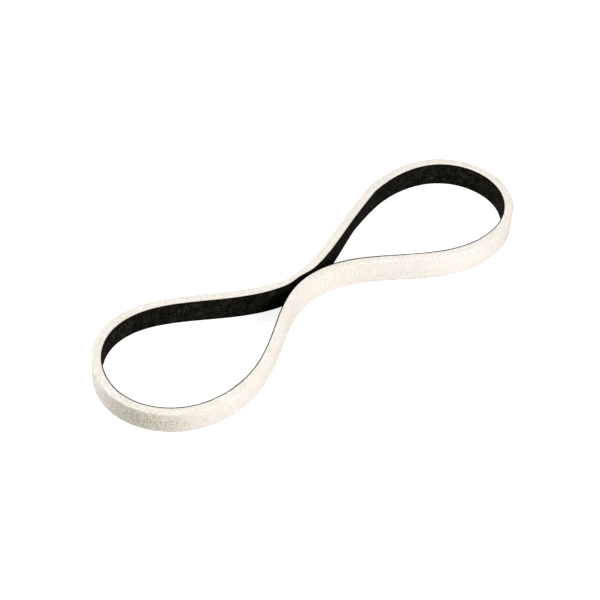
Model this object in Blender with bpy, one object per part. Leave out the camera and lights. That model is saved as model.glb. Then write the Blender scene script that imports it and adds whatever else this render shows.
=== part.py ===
"""A narrow felt polishing belt, standing on its edge.

The belt is one closed loop of thick wool felt with a thin dark backing bonded to its inner side.
It has sprung into two lobes with a narrow waist between them. Its back wall has a slight bend
where the belt is spliced, and its walls lean a little. Metres, +Z up. The origin is under the
middle of the belt, on the surface it stands on, and the long axis of the loop runs along X.
"""

from math import cos, pi, radians, sin

import bpy

MM = 0.001

# The belt itself
belt_length = 609.6 * MM
belt_width = 12.7 * MM
felt_thickness = 4.5 * MM
felt_edge_radius = 0.4 * MM
backing_thickness = 0.4 * MM
backing_edge_inset = 0.2 * MM
glue_line = 0.1 * MM

# Headings over the surface, seen from above
RIGHT = 0.0
BACK = 0.5 * pi
LEFT = pi
FRONT = 1.5 * pi
into_splice = radians(191.0)
splice_bend = radians(8.0)
out_of_splice = into_splice + splice_bend

# How the belt lies: the line between the felt and the backing, counter-clockwise from above.
# Each point has its place, its heading, and how far the curve reaches on its way in and out.
# The unit is about a millimetre, and is sized so that the whole line is as long as the belt.
BELT_LINE = (
    # x, y, heading in, heading out, reach in, reach out
    (2.5, 3.0, RIGHT, RIGHT, 34.0, 35.5),  # waist, front wall
    (88.5, -28.5, RIGHT, RIGHT, 34.0, 25.5),  # right lobe, front wall
    (128.5, 4.0, BACK, BACK, 16.0, 15.5),  # right lobe, end
    (74.0, 32.0, into_splice, out_of_splice, 42.5, 44.5),  # right lobe, back wall
    (-9.0, 4.0, LEFT, LEFT, 24.5, 32.0),  # waist, back wall
    (-90.5, 33.0, LEFT, LEFT, 27.5, 23.0),  # left lobe, back wall
    (-127.5, -3.0, FRONT, FRONT, 16.0, 16.0),  # left lobe, end
    (-91.0, -34.0, RIGHT, RIGHT, 22.5, 40.0),  # left lobe, front wall
)

# How the walls lean: the top edge's shift from the bottom edge, in the line's unit, at even
# places from the left end of the line to its right end
TOP_SHIFT = (
    # x, y
    (-1.8, -1.0),
    (0.0, -0.4),
    (0.0, 0.8),
    (0.0, -1.0),
    (0.0, 0.5),
)

# Fineness: facets between two points of the line, facets round an edge of the felt, and the
# steps between two points when the line is measured
line_resolution = 24
edge_resolution = 3
measuring_resolution = 400

FELT_COLOUR = (0.87, 0.83, 0.74, 1.0)
BACKING_COLOUR = (0.014, 0.013, 0.011, 1.0)


def clear_scene():
    for obj in list(bpy.data.objects):
        bpy.data.objects.remove(obj, do_unlink=True)


def collection(name):
    found = bpy.data.collections.new(name)
    bpy.context.scene.collection.children.link(found)
    return found


def material(name, colour, roughness):
    made = bpy.data.materials.new(name)
    made.use_nodes = True
    shader = made.node_tree.nodes["Principled BSDF"]
    shader.inputs["Base Color"].default_value = colour
    shader.inputs["Roughness"].default_value = roughness
    shader.inputs["Metallic"].default_value = 0.0
    made.diffuse_color = colour
    return made


def add_belt_line(curve, unit):
    """Lays the closed line of the belt into a curve, flat, with a unit of this length."""
    spline = curve.splines.new("BEZIER")
    spline.bezier_points.add(len(BELT_LINE) - 1)
    spline.use_cyclic_u = True
    for point, row in zip(spline.bezier_points, BELT_LINE):
        x, y, heading_in, heading_out, reach_in, reach_out = row
        before = (x - reach_in * cos(heading_in), y - reach_in * sin(heading_in))
        after = (x + reach_out * cos(heading_out), y + reach_out * sin(heading_out))
        point.handle_left_type = "FREE"
        point.handle_right_type = "FREE"
        point.co = (x * unit, y * unit, 0.0)
        point.handle_left = (before[0] * unit, before[1] * unit, 0.0)
        point.handle_right = (after[0] * unit, after[1] * unit, 0.0)
    return spline


def unit_for_length(length):
    """The line's unit with which the whole line comes out this long."""
    curve = bpy.data.curves.new("measured_line", "CURVE")
    curve.dimensions = "3D"
    units_round_line = add_belt_line(curve, 1.0).calc_length(resolution=measuring_resolution)
    bpy.data.curves.remove(curve)
    return length / units_round_line


def section_points(inner, outer, height, radius):
    """The corners of a band's section, clockwise, rounded if there is a radius."""
    half = height / 2
    if not radius:
        return [(inner, -half), (inner, half), (outer, half), (outer, -half)]
    centres = (
        (inner + radius, -half + radius, 1.5 * pi),
        (inner + radius, half - radius, pi),
        (outer - radius, half - radius, 0.5 * pi),
        (outer - radius, -half + radius, 0.0),
    )
    points = []
    for x, y, start in centres:
        for facet in range(edge_resolution + 1):
            angle = start - 0.5 * pi * facet / edge_resolution
            points.append((x + radius * cos(angle), y + radius * sin(angle)))
    return points


def add_section(name, guides, inner, outer, height, radius=0.0):
    """The section of a band, as a flat closed guide. Distances run outwards from the belt's line."""
    curve = bpy.data.curves.new(name, "CURVE")
    curve.dimensions = "2D"
    curve.fill_mode = "NONE"
    spline = curve.splines.new("POLY")
    points = section_points(inner, outer, height, radius)
    spline.points.add(len(points) - 1)
    for point, (x, y) in zip(spline.points, points):
        point.co = (x, y, 0.0, 1.0)
    spline.use_cyclic_u = True
    section = bpy.data.objects.new(name, curve)
    section.hide_render = True
    section.display_type = "WIRE"
    guides.objects.link(section)
    return section


def add_lean_cage(guides, unit):
    """A lattice as long and high as the belt, its top points shifted from those below them."""
    ends = [row[0] for row in BELT_LINE]
    spacing = (max(ends) - min(ends)) / (len(TOP_SHIFT) - 1)
    lattice = bpy.data.lattices.new("lean_cage")
    lattice.points_u = len(TOP_SHIFT)
    lattice.points_v = 1
    lattice.points_w = 2
    lattice.interpolation_type_u = "KEY_CATMULL_ROM"
    lattice.interpolation_type_w = "KEY_LINEAR"
    for index, point in enumerate(lattice.points):
        x, y = TOP_SHIFT[index % len(TOP_SHIFT)]
        rise = point.co.z
        point.co_deform = (point.co.x + x / spacing * rise, y / spacing * rise, rise)
    cage = bpy.data.objects.new("lean_cage", lattice)
    cage.location = ((max(ends) + min(ends)) / 2 * unit, 0.0, belt_width / 2)
    cage.scale = (spacing * unit, spacing * unit, belt_width)
    cage.hide_render = True
    guides.objects.link(cage)
    return cage


def add_band(name, parts, section, unit, cage, finish):
    """A closed band of one section all the way round the belt's line, leaning as the cage does."""
    curve = bpy.data.curves.new(name, "CURVE")
    curve.dimensions = "3D"
    curve.twist_mode = "Z_UP"
    curve.resolution_u = line_resolution
    curve.render_resolution_u = 0
    curve.bevel_mode = "OBJECT"
    curve.bevel_object = section
    add_belt_line(curve, unit).use_smooth = True
    curve.materials.append(finish)
    band = bpy.data.objects.new(name, curve)
    band.location.z = belt_width / 2
    lean = band.modifiers.new("lean", "LATTICE")
    lean.object = cage
    parts.objects.link(band)
    return band


clear_scene()
belt = collection("polishing_belt")
guides = collection("belt_guides")

felt = material("wool_felt", FELT_COLOUR, 0.95)
backing = material("dark_backing", BACKING_COLOUR, 0.7)

unit = unit_for_length(belt_length)
lean_cage = add_lean_cage(guides, unit)
felt_section = add_section(
    "felt_section", guides, 0.0, felt_thickness, belt_width, felt_edge_radius
)
backing_section = add_section(
    "backing_section",
    guides,
    -glue_line - backing_thickness,
    -glue_line,
    belt_width - 2 * backing_edge_inset,
)

add_band("felt_band", belt, felt_section, unit, lean_cage, felt)
add_band("backing_band", belt, backing_section, unit, lean_cage, backing)
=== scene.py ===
"""The looks of a narrow felt polishing belt that stands on its edge, seen as in the photograph."""

from math import cos, pi, radians, sin, tan, tau

import bpy
import numpy as np
from mathutils import Matrix, Vector, noise


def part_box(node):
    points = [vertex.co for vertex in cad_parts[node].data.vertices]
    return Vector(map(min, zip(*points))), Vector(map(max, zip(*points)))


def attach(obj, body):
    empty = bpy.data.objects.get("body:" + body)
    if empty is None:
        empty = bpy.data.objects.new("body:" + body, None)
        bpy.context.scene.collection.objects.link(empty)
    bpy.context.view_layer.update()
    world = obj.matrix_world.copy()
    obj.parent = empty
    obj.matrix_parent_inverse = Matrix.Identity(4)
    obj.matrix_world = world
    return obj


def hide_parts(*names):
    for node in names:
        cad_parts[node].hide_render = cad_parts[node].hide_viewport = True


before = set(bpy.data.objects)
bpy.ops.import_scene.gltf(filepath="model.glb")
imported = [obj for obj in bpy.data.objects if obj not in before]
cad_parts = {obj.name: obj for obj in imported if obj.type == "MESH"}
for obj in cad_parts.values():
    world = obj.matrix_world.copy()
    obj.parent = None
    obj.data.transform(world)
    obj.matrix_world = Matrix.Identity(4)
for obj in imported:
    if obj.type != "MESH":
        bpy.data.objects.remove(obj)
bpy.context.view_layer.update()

MM = 0.001

# Headings over the floor, seen from above
RIGHT = 0.0
BACK = 0.5 * pi
LEFT = pi
FRONT = 1.5 * pi
into_splice = radians(191.0)
splice_bend = radians(8.0)
out_of_splice = into_splice + splice_bend

# The line between felt and backing, as the solids have it, counter-clockwise from above. The
# unit is about a millimetre, and is sized so that the whole line is as long as the belt.
belt_length = 609.6 * MM
BELT_LINE = (
    # x, y, heading in, heading out, reach in, reach out
    (2.5, 3.0, RIGHT, RIGHT, 34.0, 35.5),  # waist, front wall
    (88.5, -28.5, RIGHT, RIGHT, 34.0, 25.5),  # right lobe, front wall
    (128.5, 4.0, BACK, BACK, 16.0, 15.5),  # right lobe, end
    (74.0, 32.0, into_splice, out_of_splice, 42.5, 44.5),  # right lobe, back wall
    (-9.0, 4.0, LEFT, LEFT, 24.5, 32.0),  # waist, back wall
    (-90.5, 33.0, LEFT, LEFT, 27.5, 23.0),  # left lobe, back wall
    (-127.5, -3.0, FRONT, FRONT, 16.0, 16.0),  # left lobe, end
    (-91.0, -34.0, RIGHT, RIGHT, 22.5, 40.0),  # left lobe, front wall
)
splice_row = 3

# The shift of the belt's top edge from its bottom edge, in the same unit, at even places from
# the left end of the line to its right end
TOP_SHIFT = (
    # x, y
    (-1.8, -1.0),
    (0.0, -0.4),
    (0.0, 0.8),
    (0.0, -1.0),
    (0.0, 0.5),
)

# Fineness: steps between two rows of the line, stations round the belt, stations either side
# that its direction is taken from, and points round the section of the felt and of the backing
steps_between_rows = 400
stations = 1500
direction_span = 2
felt_round = 56
backing_round = 40

# The splice runs at a slant: its bend is this much further along at the bottom edge than at the
# top edge, is felt along the belt for about this far either side, and is rounded at the bottom
splice_slant = 24 * MM
splice_give = 13 * MM
splice_rounding = 4 * MM

# The front wall of the right lobe leans further: its bottom edge stands out from its top edge by
# this much at this place along the belt, about this far either side, and turns about this height
splay = 1.6 * MM
splay_place = 71 * MM
splay_reach = 24 * MM
splay_pivot = 0.25

# The felt of the back wall is pinched at the waist. Its inner and its outer side give way by so
# much at the top edge, at a place along the belt and about this far either side
pinch_inner = 1.1 * MM
pinch_inner_place = 305 * MM
pinch_inner_reach = 6 * MM
pinch_outer = 0.9 * MM
pinch_outer_place = 311 * MM
pinch_outer_reach = 9 * MM

# Sizes read from the frame
felt_low, felt_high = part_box("felt_band")
belt_width = felt_high[2] - felt_low[2]

# The felt, with the depth and the breadth of its slow swell and of its grain
felt_thickness = 4.5 * MM
felt_edge_radius = 0.35 * MM
swell_depth = 0.1 * MM
swell_breadth = 9 * MM
grain_depth = 0.09 * MM
grain_breadth = 1.5 * MM
grain_octaves = 3

# The loose fibres on the felt: how many there are, and how long and how thick
fuzz_count = 9000
fuzz_seed = 11
fuzz_shortest = 0.25 * MM
fuzz_longest = 0.95 * MM
fuzz_thinnest = 0.012 * MM
fuzz_thickest = 0.024 * MM

# How they stand: the scatter of their headings and of their tips', and the rise that a heading
# is given where it rises less than the least
fuzz_scatter = 0.9
fuzz_curl = 0.5
fuzz_least_rise = 0.1
fuzz_given_rise = 0.25

# Where they curl and how far their tip reaches from there, as shares of their length, how thick
# they still are there, and how deep they root and how far they keep from the floor and backing
fuzz_middle = 0.55
fuzz_tip = 0.5
fuzz_taper = 0.8
fuzz_embedding = 0.1 * MM
fuzz_floor_gap = 0.02 * MM
fuzz_backing_gap = 0.3 * MM

# Painted shade on the felt at the left lobe's front: darker, yellower flecks in its colour where
# it lies in shade. They are full within the core, fade out by the reach, and are squashed in
# height
shade_flecks_centre = Vector((-127, -19, 6.5)) * MM
shade_flecks_core = 6 * MM
shade_flecks_reach = 33 * MM
shade_flecks_squash = 4.0

# The backing, which runs nearly the whole height of the felt and lies right against it
backing_reach = 0.42 * MM
backing_gap = 0.02 * MM
backing_edge_gap = 0.03 * MM
backing_edge_radius = 0.1 * MM
unevenness_depth = 0.03 * MM
unevenness_breadth = 4 * MM
dark_edge_width = 0.8 * MM
splice_line_width = 0.7 * MM

# The patterns: their features in a metre, their octaves of detail, and their distortion
PATCHES = (120.0, 3.0, 0.0)
MOTTLE = (1050.0, 4.0, 0.6)
FIBRES = (3200.0, 3.0, 5.0)
FIBRE_TINT = (500.0, 2.0, 0.0)
BLOTCHES = (260.0, 4.0, 0.5)
SPECKLE = (1000.0, 3.0, 0.0)
THREADS = (560.0, 1.0, 0.6)
noise_roughness = 0.6

# The two stops of each colour ramp: its place in the pattern's range, and its colour
CREAM = ((0.3, (0.89, 0.855, 0.775, 1)), (0.7, (0.92, 0.885, 0.835, 1)))
GRAIN = ((0.32, (0.8, 0.77, 0.68, 1)), (0.53, (1, 1, 1, 1)))
HAIRS = ((0.38, (0.9, 0.89, 0.86, 1)), (0.56, (1, 1, 1, 1)))
# The flecks' ramp is painted shade: the darker, yellower flecks of the felt where it lies in shade
SHADE_FLECKS = ((0.42, (0.71, 0.685, 0.56, 1)), (0.56, (1, 1, 0.96, 1)))
LOOSE_FIBRE = ((0.3, (0.85, 0.8, 0.71, 1)), (0.7, (0.93, 0.9, 0.84, 1)))
BACKING_GROUND = ((0.35, (0.0015, 0.002, 0.0013, 1)), (0.68, (0.01, 0.0087, 0.0062, 1)))
BACKING_DOTS = ((0.4, (0.1, 0.14, 0.08, 1)), (0.64, (4.0, 4.0, 3.9, 1)))

# How strongly a ramp tints the colour under it
grain_tint = 0.75
hairs_tint = 0.6
# The flecks' tint is painted shade
shade_flecks_tint = 1.0
dots_tint = 0.85

# The plain colours
DARK_EDGE = (0.003, 0.003, 0.0015, 1)
SPLICE_LINE = (0.02, 0.019, 0.016, 1)
FLOOR = (0.55, 0.55, 0.55, 1)
WHITE = (1, 1, 1, 1)

# The relief that a pattern has in the shading: its depth and its strength
MOTTLE_RELIEF = (0.7 * MM, 0.9)
FIBRES_RELIEF = (0.1 * MM, 0.6)
THREADS_RELIEF = (0.08 * MM, 0.5)
SPECKLE_RELIEF = (0.1 * MM, 0.5)

# The roughness and the gloss of each surface
FELT_SURFACE = (0.95, 0.1)
FIBRE_SURFACE = (0.8, 0.1)
BACKING_SURFACE = (0.8, 0.04)
FLOOR_SURFACE = (1.0, 0.0)

# The camera, fitted to the photograph
camera_elevation = radians(40.17)
camera_bearing = radians(48.25)
camera_roll = radians(7.15)
camera_distance = 1.1128
camera_lens = 136.34
camera_sensor = 36.0
camera_reach = (0.05, 20.0)
aim_right = 6.08 * MM
aim_ahead = 3.32 * MM

# The studio's lamps: azimuths run from the camera's right, away from it
LAMPS = (
    # name, azimuth, elevation, distance, width, power, colour
    ("key", radians(-43), radians(30), 0.8, 0.4, 6.15, (1.0, 0.975, 1.01)),
    ("side", radians(173), radians(34), 2.4, 1.0, 51.0, (0.98, 1.0, 1.06)),
)
world_light = 0.285
world_colour = (1.0, 0.985, 0.86, 1)
floor_glow = 0.84
floor_size = 6.0


def line_points():
    """Points round the belt's line in its own unit, the same number between each two rows."""
    share = np.linspace(0.0, 1.0, steps_between_rows, endpoint=False)[:, None]
    rest = 1.0 - share
    spans = []
    for row, following in zip(BELT_LINE, BELT_LINE[1:] + BELT_LINE[:1]):
        start = np.array(row[:2])
        end = np.array(following[:2])
        leave = start + row[5] * np.array([cos(row[3]), sin(row[3])])
        arrive = end - following[4] * np.array([cos(following[2]), sin(following[2])])
        spans.append(
            rest**3 * start
            + 3 * share * rest**2 * leave
            + 3 * share**2 * rest * arrive
            + share**3 * end
        )
    return np.vstack(spans)


def belt_course():
    """Even places round the belt, with their points on the line and their outward normals."""
    fine = line_points()
    closed = np.vstack([fine, fine[:1]])
    along = np.concatenate([[0.0], np.cumsum(np.linalg.norm(np.diff(closed, axis=0), axis=1))])
    unit = belt_length / along[-1]
    places = np.arange(stations) * belt_length / stations
    points = np.column_stack(
        [np.interp(places, along * unit, closed[:, axis] * unit) for axis in (0, 1)]
    )
    before = np.roll(points, direction_span, axis=0)
    after = np.roll(points, -direction_span, axis=0)
    tangent = (after - before) / np.linalg.norm(after - before, axis=1)[:, None]
    normals = np.column_stack([tangent[:, 1], -tangent[:, 0]])
    splice_place = along[splice_row * steps_between_rows] * unit
    return points, normals, places, unit, splice_place


course_points, course_normals, course_places, unit, splice_place = belt_course()


def splice_pull(along, rounding):
    """How far the bend at the splice pulls the line outwards, at these distances from it."""
    return 0.5 * tan(splice_bend) * splice_give * np.exp(-np.hypot(along, rounding) / splice_give)


def nearness(places, middle, reach):
    """1 at a place along the belt, and fading to 0 either side of it."""
    return np.exp(-(((places - middle) / reach) ** 2))


def pinched(out, places, heights):
    """Distances from the belt's line, with both sides of the felt closer where it is pinched."""
    rise = (heights - felt_low[2]) / belt_width
    inner = pinch_inner * nearness(places, pinch_inner_place, pinch_inner_reach)
    outer = pinch_outer * nearness(places, pinch_outer_place, pinch_outer_reach)
    outer_share = np.clip(out / felt_thickness, 0.0, 1.0)
    return out + rise * (inner * (1.0 - outer_share) - outer * outer_share)


def settling(base, normals, places):
    """Slants the splice's bend with the distance under the top edge, and splays the front wall."""
    drop = 1.0 - (base[..., 2] - felt_low[2]) / belt_width
    along = places - splice_place
    upright = splice_pull(along, 0.0)
    slanted = splice_pull(along - splice_slant * drop, splice_rounding * drop)
    splayed = splay * (drop - splay_pivot) * nearness(places, splay_place, splay_reach)
    outwards = slanted - upright + splayed
    moved = base.copy()
    moved[..., :2] += normals * outwards[..., None]
    return moved


def leaning(base):
    """Shifts points with their height, by a Catmull-Rom curve through the top edge's shifts."""
    table = np.array(TOP_SHIFT) * unit
    last = len(table) - 1
    ends = [row[0] * unit for row in BELT_LINE]
    place = (base[..., 0] - min(ends)) / (max(ends) - min(ends)) * last
    place = np.clip(place, 0.0, last)
    first = np.minimum(place.astype(int), last - 1)
    share = (place - first)[..., None]
    before, start, end, after = (table[np.clip(first + step, 0, last)] for step in (-1, 0, 1, 2))
    shift = start + 0.5 * share * (
        end
        - before
        + share * (2 * before - 5 * start + 4 * end - after)
        + share**2 * (3 * start - before - 3 * end + after)
    )
    rise = (base[..., 2:3] - felt_low[2]) / belt_width - 0.5
    moved = base.copy()
    moved[..., :2] += shift * rise
    return moved


def rounded_section(inner, outer, low, high, radius, count):
    """Even points round a rounded rectangle, with the outward direction at each."""
    width = outer - inner - 2 * radius
    height = high - low - 2 * radius
    corner = 0.5 * pi * radius
    runs = (
        ("line", (outer, low + radius), (0, 1), (1, 0), height),
        ("turn", (outer - radius, high - radius), 0.0, None, corner),
        ("line", (outer - radius, high), (-1, 0), (0, 1), width),
        ("turn", (inner + radius, high - radius), 0.5 * pi, None, corner),
        ("line", (inner, high - radius), (0, -1), (-1, 0), height),
        ("turn", (inner + radius, low + radius), pi, None, corner),
        ("line", (inner + radius, low), (1, 0), (0, -1), width),
        ("turn", (outer - radius, low + radius), 1.5 * pi, None, corner),
    )
    total = sum(run[4] for run in runs)
    section = []
    for place in np.arange(count) * total / count:
        for form, origin, first, facing, length in runs:
            if place < length:
                break
            place -= length
        if form == "line":
            at = (origin[0] + first[0] * place, origin[1] + first[1] * place)
            section.append((*at, *facing))
        else:
            angle = first + place / radius
            out = (cos(angle), sin(angle))
            section.append((origin[0] + radius * out[0], origin[1] + radius * out[1], *out))
    return np.array(section), total


def add_mesh(name, vertices, faces):
    """A smooth object of these vertices and faces."""
    mesh = bpy.data.meshes.new(name)
    mesh.from_pydata(vertices.reshape(-1, 3).tolist(), [], faces.tolist())
    mesh.shade_smooth()
    mesh.update()
    made = bpy.data.objects.new(name, mesh)
    bpy.context.scene.collection.objects.link(made)
    return made


def band_faces(count):
    """The faces of a closed band whose section has this many points."""
    station = np.arange(stations)[:, None]
    point = np.arange(count)[None, :]
    next_station = (station + 1) % stations
    next_point = (point + 1) % count
    corners = (
        station * count + point,
        next_station * count + point,
        next_station * count + next_point,
        station * count + next_point,
    )
    return np.stack(corners, axis=-1).reshape(-1, 4)


def band_map(count, perimeter):
    """Where the corners of those faces lie, in metres along the belt and round its section."""
    along = course_places[:, None] + np.zeros((1, count))
    round_it = np.zeros((stations, 1)) + np.arange(count)[None, :] * perimeter / count
    next_along = along + belt_length / stations
    next_round = round_it + perimeter / count
    corners = (
        np.stack([along, round_it], axis=-1),
        np.stack([next_along, round_it], axis=-1),
        np.stack([next_along, next_round], axis=-1),
        np.stack([along, next_round], axis=-1),
    )
    return np.stack(corners, axis=2)


def swept_band(name, section, perimeter, displace):
    """A closed band of the section round the belt's line, with its map in metres."""
    count = len(section)
    normals = course_normals[:, None, :]
    places = course_places[:, None]
    out = pinched(section[:, 0], places, section[:, 1])
    base = np.empty((stations, count, 3))
    base[:, :, :2] = course_points[:, None, :] + normals * out[:, :, None]
    base[:, :, 2] = section[:, 1]
    base = leaning(settling(base, normals, places))
    facing = np.empty_like(base)
    facing[:, :, :2] = normals * section[None, :, 2, None]
    facing[:, :, 2] = section[:, 3]
    vertices = base + facing * displace(base, facing)[:, :, None]
    band = add_mesh(name, vertices, band_faces(count))
    layer = band.data.uv_layers.new(name="belt_metres")
    layer.data.foreach_set("uv", band_map(count, perimeter).reshape(-1).astype(np.float32))
    return band


def rough_felt(base, facing):
    """The uneven surface of pressed wool: a slow swell, and a grain of small hollows and tufts."""
    shift = np.empty(base.shape[:2])
    for index in np.ndindex(shift.shape):
        place = Vector(base[index])
        swell = noise.noise(place / swell_breadth)
        grain = noise.fractal(place / grain_breadth, 1.0, 2.0, grain_octaves)
        shift[index] = swell_depth * swell + grain_depth * grain
    under_floor = base[:, :, 2] + facing[:, :, 2] * shift < felt_low[2]
    shift[under_floor] = 0.0
    return shift


def smooth_backing(base, facing):
    """A faint unevenness, so that the backing isn't perfectly flat."""
    shift = np.empty(base.shape[:2])
    for index in np.ndindex(shift.shape):
        shift[index] = unevenness_depth * noise.noise(Vector(base[index]) / unevenness_breadth)
    return shift


def fibre_roots(section, chance):
    """Where the loose fibres leave the felt, and the way that it faces there."""
    outside = section[section[:, 0] > fuzz_backing_gap]
    station = chance.integers(0, stations, fuzz_count)
    spot = outside[chance.integers(0, len(outside), fuzz_count)]
    normal = course_normals[station]
    along = course_places[station]
    out = pinched(spot[:, 0], along, spot[:, 1])
    root = np.column_stack([course_points[station] + normal * out[:, None], spot[:, 1]])
    facing = np.column_stack([normal * spot[:, 2:3], spot[:, 3]])
    return leaning(settling(root, normal, along)), facing


def fibre_faces():
    """The triangles of one fibre, which has two rings of three corners and then its tip."""
    faces = [(0, 2, 1)]
    for corner in range(3):
        beside = (corner + 1) % 3
        faces += [(corner, beside, beside + 3), (corner, beside + 3, corner + 3)]
        faces.append((corner + 3, beside + 3, 6))
    return np.array(faces)


def felt_fuzz(section):
    """Loose wool fibres that stand off the felt, each a thin tapered three-sided hair."""
    chance = np.random.default_rng(fuzz_seed)
    root, facing = fibre_roots(section, chance)
    lean = chance.normal(0.0, 1.0, (fuzz_count, 3))
    heading = facing + fuzz_scatter * lean
    heading /= np.linalg.norm(heading, axis=1)[:, None]
    rise = np.sum(heading * facing, axis=1, keepdims=True)
    lifted = heading - facing * (rise - fuzz_given_rise)
    heading = np.where(rise < fuzz_least_rise, lifted, heading)
    curl = chance.normal(0.0, fuzz_curl, (fuzz_count, 3))
    reach = chance.uniform(fuzz_shortest, fuzz_longest, (fuzz_count, 1))
    middle = root + heading * reach * fuzz_middle
    tip = middle + (heading + curl) * reach * fuzz_tip
    side = np.cross(heading, lean)
    side /= np.linalg.norm(side, axis=1)[:, None]
    other = np.cross(heading, side)
    thickness = chance.uniform(fuzz_thinnest, fuzz_thickest, (fuzz_count, 1))
    corners = []
    for centre, share in ((root - facing * fuzz_embedding, 1.0), (middle, fuzz_taper)):
        for turn in (0.0, tau / 3, tau * 2 / 3):
            corners.append(centre + thickness * share * (side * cos(turn) + other * sin(turn)))
    vertices = np.stack([*corners, tip], axis=1)
    vertices[:, :, 2] = np.maximum(vertices[:, :, 2], felt_low[2] + fuzz_floor_gap)
    first_vertices = np.arange(fuzz_count)[:, None, None] * vertices.shape[1]
    return add_mesh("felt_fuzz", vertices, (first_vertices + fibre_faces()).reshape(-1, 3))


def new_material(name, roughness, gloss):
    """A new material, with its nodes, its links and its shader."""
    made = bpy.data.materials.new(name)
    made.use_nodes = True
    nodes, links = made.node_tree.nodes, made.node_tree.links
    shader = nodes["Principled BSDF"]
    shader.inputs["Roughness"].default_value = roughness
    shader.inputs["Specular IOR Level"].default_value = gloss
    return made, nodes, links, shader


def feed(links, socket, value):
    """Gives a node's input its value, which is another node's output or a constant."""
    if isinstance(value, bpy.types.NodeSocket):
        links.new(value, socket)
    else:
        socket.default_value = value


def noise_node(nodes, links, vector, scale, detail, distortion):
    made = nodes.new("ShaderNodeTexNoise")
    made.inputs["Scale"].default_value = scale
    made.inputs["Detail"].default_value = detail
    made.inputs["Roughness"].default_value = noise_roughness
    made.inputs["Distortion"].default_value = distortion
    links.new(vector, made.inputs["Vector"])
    return made.outputs["Fac"]


def ramp_node(nodes, links, factor, stops):
    made = nodes.new("ShaderNodeValToRGB")
    for element, (position, colour) in zip(made.color_ramp.elements, stops):
        element.position = position
        element.color = colour
    links.new(factor, made.inputs["Fac"])
    return made.outputs["Color"]


def mix_node(nodes, links, blend, factor, first, second):
    made = nodes.new("ShaderNodeMix")
    made.data_type = "RGBA"
    made.blend_type = blend
    feed(links, made.inputs["Factor"], factor)
    feed(links, made.inputs["A"], first)
    feed(links, made.inputs["B"], second)
    return made.outputs["Result"]


def bump_node(nodes, links, height, depth, strength, before=None):
    made = nodes.new("ShaderNodeBump")
    made.inputs["Distance"].default_value = depth
    made.inputs["Strength"].default_value = strength
    links.new(height, made.inputs["Height"])
    if before:
        links.new(before, made.inputs["Normal"])
    return made.outputs["Normal"]


def math_node(nodes, links, operation, *values):
    """A sum on one or more values, each an output of a node or a number."""
    made = nodes.new("ShaderNodeMath")
    made.operation = operation
    for socket, value in zip(made.inputs, values):
        feed(links, socket, value)
    return made.outputs["Value"]


def vector_node(nodes, links, operation, first, second):
    made = nodes.new("ShaderNodeVectorMath")
    made.operation = operation
    feed(links, made.inputs[0], first)
    feed(links, made.inputs[1], second)
    return made.outputs


def axis_node(nodes, links, vector, axis):
    """One of a vector's three values."""
    made = nodes.new("ShaderNodeSeparateXYZ")
    links.new(vector, made.inputs["Vector"])
    return made.outputs[axis]


def range_node(nodes, links, value, start, end, low=0.0, high=1.0, form="LINEAR"):
    """Goes from low to high while the value goes from start to end, and no further."""
    made = nodes.new("ShaderNodeMapRange")
    made.interpolation_type = form
    links.new(value, made.inputs["Value"])
    made.inputs["From Min"].default_value = start
    made.inputs["From Max"].default_value = end
    made.inputs["To Min"].default_value = low
    made.inputs["To Max"].default_value = high
    return made.outputs["Result"]


def painted_shade_share(nodes, links, place):
    """How much painted shade the felt has at a place, from 1 in its shaded stretch to 0 away from
    it.
    """
    squash = Vector((1.0, 1.0, shade_flecks_squash))
    squashed = vector_node(nodes, links, "MULTIPLY", place, squash)["Vector"]
    away = vector_node(nodes, links, "DISTANCE", squashed, shade_flecks_centre * squash)["Value"]
    return range_node(nodes, links, away, shade_flecks_core, shade_flecks_reach, 1.0, 0.0, "SMOOTHSTEP")


def felt_material():
    """Off-white wool with a fine grain, and darker flecks painted as shade at the left lobe's
    front.
    """
    made, nodes, links, shader = new_material("wool_felt", *FELT_SURFACE)
    place = nodes.new("ShaderNodeTexCoord").outputs["Object"]
    mottle = noise_node(nodes, links, place, *MOTTLE)
    fibres = noise_node(nodes, links, place, *FIBRES)
    cream = ramp_node(nodes, links, noise_node(nodes, links, place, *PATCHES), CREAM)
    grain = ramp_node(nodes, links, mottle, GRAIN)
    hairs = ramp_node(nodes, links, fibres, HAIRS)
    # Painted shade: darker, yellower flecks, mixed in at the left lobe's front where the felt lies
    # in shade
    shade_flecks = ramp_node(nodes, links, mottle, SHADE_FLECKS)
    toned = mix_node(nodes, links, "MULTIPLY", grain_tint, cream, grain)
    haired = mix_node(nodes, links, "MULTIPLY", hairs_tint, toned, hairs)
    shade_flecked = mix_node(nodes, links, "MULTIPLY", shade_flecks_tint, haired, shade_flecks)
    shaded_felt_colour = mix_node(nodes, links, "MIX", painted_shade_share(nodes, links, place), haired, shade_flecked)
    links.new(shaded_felt_colour, shader.inputs["Base Color"])
    coarse = bump_node(nodes, links, mottle, *MOTTLE_RELIEF)
    relief = bump_node(nodes, links, fibres, *FIBRES_RELIEF, coarse)
    links.new(relief, shader.inputs["Normal"])
    return made


def fibre_material():
    """The wool of the loose fibres, some a little yellower than others."""
    made, nodes, links, shader = new_material("loose_wool_fibre", *FIBRE_SURFACE)
    place = nodes.new("ShaderNodeTexCoord").outputs["Object"]
    tint = noise_node(nodes, links, place, *FIBRE_TINT)
    links.new(ramp_node(nodes, links, tint, LOOSE_FIBRE), shader.inputs["Base Color"])
    return made


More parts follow.
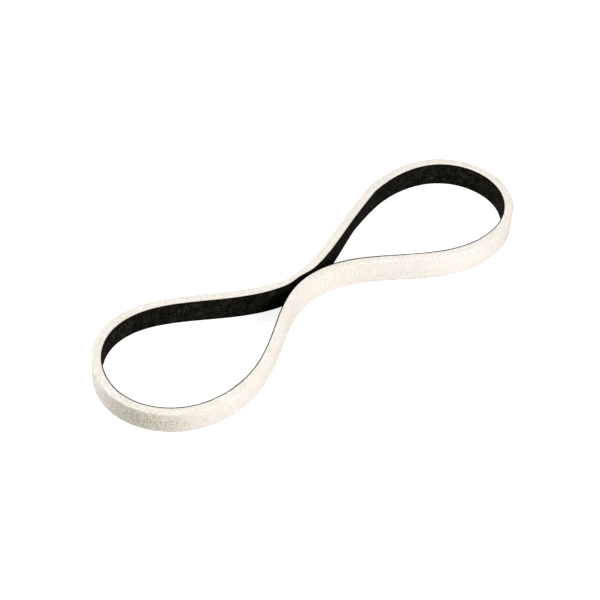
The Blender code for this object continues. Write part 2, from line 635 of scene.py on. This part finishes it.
def thread_waves(nodes, links, vector, scale, detail, distortion):
    """Two sets of threads at a right angle, as one height."""
    sets = []
    for direction in ("X", "Y"):
        wave = nodes.new("ShaderNodeTexWave")
        wave.wave_type = "BANDS"
        wave.bands_direction = direction
        wave.inputs["Scale"].default_value = scale
        wave.inputs["Detail"].default_value = detail
        wave.inputs["Distortion"].default_value = distortion
        links.new(vector, wave.inputs["Vector"])
        sets.append(wave.outputs["Fac"])
    return math_node(nodes, links, "MAXIMUM", *sets)


def edge_share(nodes, links, height):
    """1 near the top and bottom edges of the belt, and 0 between them."""
    from_middle = math_node(nodes, links, "SUBTRACT", height, felt_low[2] + belt_width / 2)
    away = math_node(nodes, links, "ABSOLUTE", from_middle)
    start = belt_width / 2 - dark_edge_width
    return range_node(nodes, links, away, start, start + dark_edge_width / 2)


def splice_share(nodes, links, along, height):
    """1 on the slanted line of the splice, and 0 beside it."""
    drop = math_node(nodes, links, "SUBTRACT", felt_high[2], height)
    slant = math_node(nodes, links, "MULTIPLY", drop, splice_slant / belt_width)
    upright = math_node(nodes, links, "SUBTRACT", along, slant)
    return math_node(nodes, links, "COMPARE", upright, splice_place, splice_line_width / 2)


def backing_material():
    """Coated cloth with a blotched black face, darker edges, and a paler line at the splice."""
    made, nodes, links, shader = new_material("dark_backing", *BACKING_SURFACE)
    coordinates = nodes.new("ShaderNodeTexCoord").outputs
    place, belt_metres = coordinates["Object"], coordinates["UV"]
    speckle = noise_node(nodes, links, place, *SPECKLE)
    blotches = noise_node(nodes, links, place, *BLOTCHES)
    ground = ramp_node(nodes, links, blotches, BACKING_GROUND)
    dots = ramp_node(nodes, links, speckle, BACKING_DOTS)
    toned = mix_node(nodes, links, "MULTIPLY", dots_tint, ground, dots)
    height = axis_node(nodes, links, place, "Z")
    along = axis_node(nodes, links, belt_metres, "X")
    edge = edge_share(nodes, links, height)
    splice = splice_share(nodes, links, along, height)
    darkened = mix_node(nodes, links, "MIX", edge, toned, DARK_EDGE)
    lined = mix_node(nodes, links, "MIX", splice, darkened, SPLICE_LINE)
    links.new(lined, shader.inputs["Base Color"])
    threads = thread_waves(nodes, links, belt_metres, *THREADS)
    woven = bump_node(nodes, links, threads, *THREADS_RELIEF)
    relief = bump_node(nodes, links, speckle, *SPECKLE_RELIEF, woven)
    links.new(relief, shader.inputs["Normal"])
    return made


def floor_material():
    """A pale floor with a glow that only the camera sees, so that just the near shadow shows."""
    made, nodes, links, shader = new_material("pale_floor", *FLOOR_SURFACE)
    shader.inputs["Base Color"].default_value = FLOOR
    shader.inputs["Emission Color"].default_value = WHITE
    seen = nodes.new("ShaderNodeLightPath").outputs["Is Camera Ray"]
    glow = math_node(nodes, links, "MULTIPLY", seen, floor_glow)
    links.new(glow, shader.inputs["Emission Strength"])
    return made


def add_floor():
    bpy.ops.mesh.primitive_plane_add(size=floor_size, location=(0, 0, felt_low[2]))
    floor = bpy.context.object
    floor.name = "floor"
    floor.data.materials.append(floor_material())


# Directions over the floor as the camera has them
camera_right = Vector((cos(camera_bearing), -sin(camera_bearing), 0))
camera_ahead = Vector((sin(camera_bearing), cos(camera_bearing), 0))
aim = -(camera_right * aim_right + camera_ahead * aim_ahead)


def add_camera():
    """The camera, turned about its own line of sight by its roll."""
    forward = camera_ahead * cos(camera_elevation) - Vector((0, 0, sin(camera_elevation)))
    level = camera_ahead * sin(camera_elevation) + Vector((0, 0, cos(camera_elevation)))
    right = camera_right * cos(camera_roll) + level * sin(camera_roll)
    up = level * cos(camera_roll) - camera_right * sin(camera_roll)
    data = bpy.data.cameras.new("camera")
    data.lens = camera_lens
    data.sensor_width = camera_sensor
    data.clip_start, data.clip_end = camera_reach
    camera = bpy.data.objects.new("camera", data)
    turn = Matrix((right, up, -forward)).transposed().to_4x4()
    camera.matrix_world = Matrix.Translation(aim - forward * camera_distance) @ turn
    bpy.context.scene.collection.objects.link(camera)
    bpy.context.scene.camera = camera


def add_softbox(name, azimuth, elevation, distance, width, power, colour):
    """A soft square lamp turned to the belt."""
    data = bpy.data.lights.new(name, "AREA")
    data.shape = "SQUARE"
    data.size = width
    data.energy = power
    data.color = colour
    light = bpy.data.objects.new(name, data)
    over_floor = camera_right * cos(azimuth) + camera_ahead * sin(azimuth)
    direction = over_floor * cos(elevation) + Vector((0, 0, sin(elevation)))
    light.location = direction * distance
    light.rotation_euler = direction.to_track_quat("Z", "Y").to_euler()
    bpy.context.scene.collection.objects.link(light)


def add_world():
    """A faint even light all round, which the camera sees as white."""
    world = bpy.data.worlds.new("studio")
    bpy.context.scene.world = world
    world.use_nodes = True
    nodes, links = world.node_tree.nodes, world.node_tree.links
    background = nodes["Background"]
    seen = nodes.new("ShaderNodeLightPath").outputs["Is Camera Ray"]
    colour = mix_node(nodes, links, "MIX", seen, world_colour, WHITE)
    strength = math_node(nodes, links, "MAXIMUM", seen, world_light)
    links.new(colour, background.inputs["Color"])
    links.new(strength, background.inputs["Strength"])


section, perimeter = rounded_section(
    0.0, felt_thickness, felt_low[2], felt_high[2], felt_edge_radius, felt_round
)
felt = swept_band("felt_surface", section, perimeter, rough_felt)
felt.data.materials.append(felt_material())
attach(felt, "root")
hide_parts("felt_band")

fuzz = felt_fuzz(section)
fuzz.data.materials.append(fibre_material())
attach(fuzz, "root")

backing_section, backing_perimeter = rounded_section(
    -backing_reach,
    -backing_gap,
    felt_low[2] + backing_edge_gap,
    felt_high[2] - backing_edge_gap,
    backing_edge_radius,
    backing_round,
)
backing = swept_band("backing_surface", backing_section, backing_perimeter, smooth_backing)
backing.data.materials.append(backing_material())
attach(backing, "root")
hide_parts("backing_band")

add_floor()
add_camera()
for lamp in LAMPS:
    add_softbox(*lamp)
add_world()
bpy.context.scene.view_settings.view_transform = "Standard"
